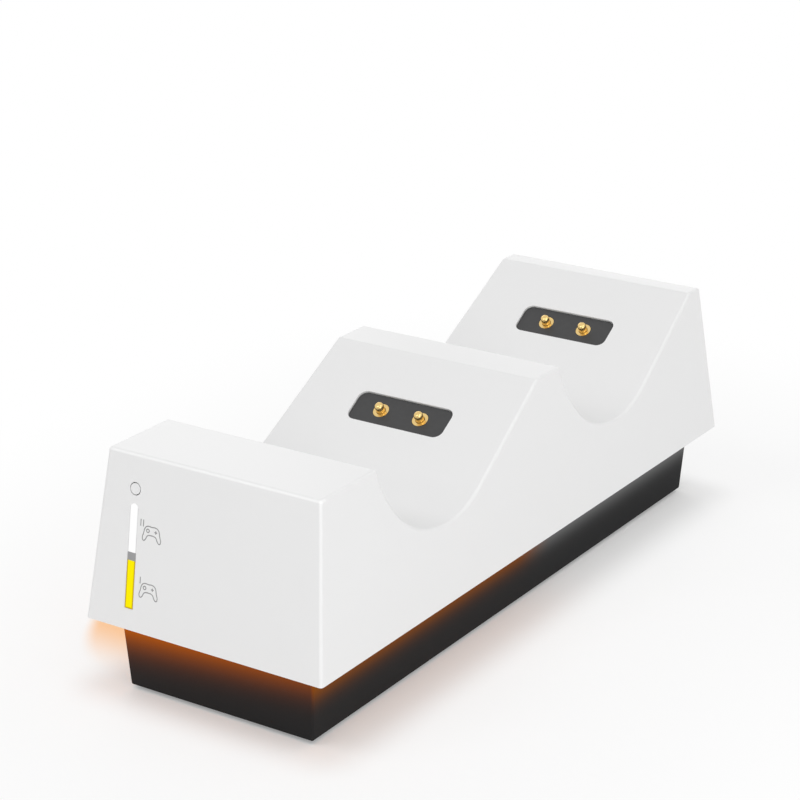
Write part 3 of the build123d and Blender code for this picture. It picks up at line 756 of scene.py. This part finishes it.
def print_signs(ink):
    """The two bays' signs beside the indicator bar."""
    for count, (name, middle_y) in enumerate(sign_ups.items(), 1):
        strokes = gamepad_strokes(sign_x, middle_y) + tally_strokes(middle_y + tally_up, count)
        new_piece(name, printed_lines(name, strokes), ink)


def painted_amber_pool(finish, x, y):
    """1 where an amber pool of light is painted on the floor at the dock's left, with a softer edge to the rear.
    """
    sideways = (x - pool_middle[0]) / pool_reach[0]
    lengthways = (y - pool_middle[1]) / pool_reach[1]
    outward = (sideways * sideways + lengthways * lengthways) ** 0.5
    blur = pool_blur * finish.ease(y, pool_front_y, pool_middle[1])
    inside = 1 - finish.ease(outward, pool_rim[0] - blur, pool_rim[1])
    return inside * finish.ease(y, pool_front_y - pool_fade, pool_front_y) * (x < 0)


def pale_floor():
    """Pale matt floor that shows the dock's shadow near it, a painted amber pool of light on its left, and plain
    white further out.
    """
    finish = new_finish("floor_pale")
    x, y, _ = finish.axes(finish.place())
    beside = (abs(x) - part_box("base_tray")[1].x).at_least(0)
    beyond = (abs(y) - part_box("base_tray")[1].y).at_least(0)
    away = (beside ** 2 + beyond ** 2) ** 0.5
    speckle = finish.noise(0.6 * mm)
    lit = finish.node(
        "ShaderNodeBsdfDiffuse", None,
        {"Color": finish.tint(speckle * 0.3, floor_pale, toned(floor_pale, 0.98))})
    pool = painted_amber_pool(finish, x, y)
    foot = foot_bright + (1 - foot_bright) * finish.ease(away, 0.0, foot_reach)
    near = floor_bright * foot * (1 - pool) + painted_pool_share * pool
    share = near + (1 - near) * finish.ease(away, plain_start, plain_end)
    # the plain emission turns amber where the pool of light is painted
    white = finish.tint(pool, (1, 1, 1, 1), painted_pool_colour)
    plain = finish.node("ShaderNodeEmission", None, {"Color": white, "Strength": 1.0})
    return finish.output(
        finish.node("ShaderNodeMixShader", None, {0: share * finish.looked_at(), 1: lit, 2: plain}))


def lay_floor():
    mesh = bpy.data.meshes.new("floor")
    corners = [(-floor_half, -floor_half, 0), (floor_half, -floor_half, 0),
               (floor_half, floor_half, 0), (-floor_half, floor_half, 0)]
    mesh.from_pydata(corners, [], [(0, 1, 2, 3)])
    mesh.materials.append(pale_floor())
    floor = put("floor", mesh)


def white_room():
    """White room: an even level on the dock, plain white where it is looked at."""
    world = bpy.data.worlds.new("room")
    bpy.context.scene.world = world
    finish = Finish(world)
    strength = room_level + (1 - room_level) * finish.looked_at()
    finish.output(
        finish.node("ShaderNodeBackground", None, {"Color": (1, 1, 1, 1), "Strength": strength}),
        "ShaderNodeOutputWorld")


def soft_box(name, place, width, height, watts, aim, colour=(1, 1, 1)):
    """Soft rectangular lamp that points at a spot."""
    data = bpy.data.lights.new(name, "AREA")
    data.shape = "RECTANGLE"
    data.size = width
    data.size_y = height
    data.energy = watts
    data.color = colour
    lamp = put(name, data)
    lamp.location = place
    lamp.rotation_euler = (Vector(aim) - Vector(place)).to_track_quat("-Z", "Y").to_euler()
    lamp.visible_camera = False


def hang_lamps():
    for name, (place, side, watts, aim) in studio_lamps.items():
        soft_box(name, place, side, side, watts, aim)


def pool_lamp():
    """Amber light that leaves the front zone's guide along the left side and falls on the floor."""
    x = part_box("front_light_guide")[0].x + 1.0 * mm
    y = (pool_front_y + crest_y) / 2
    z = rim_z - 0.3 * mm
    length, height = crest_y - pool_front_y, 2 * mm
    aim = (x - 60 * mm, y, 0)
    soft_box("spill_lamp", (x, y, z), length, height, pool_lamp_watts, aim, pool_lamp_colour)


def photo_camera():
    data = bpy.data.cameras.new("camera")
    data.lens = camera_lens
    data.sensor_width = camera_sensor
    data.clip_start = camera_near
    camera = put("camera", data)
    camera.location = camera_place
    camera.rotation_euler = (radians(90 - camera_elevation), 0, radians(camera_azimuth))
    bpy.context.scene.camera = camera


finishes = dress_nodes()
print_signs(finishes["print_grey"])
fit_case_screws(finishes["screw_steel"])
fit_contact_springs(finishes["spring_steel"])
fit_inlet_contacts(finishes["contact_gold"])
lay_floor()
white_room()
hang_lamps()
pool_lamp()
photo_camera()
bpy.context.scene.view_settings.view_transform = "Standard"
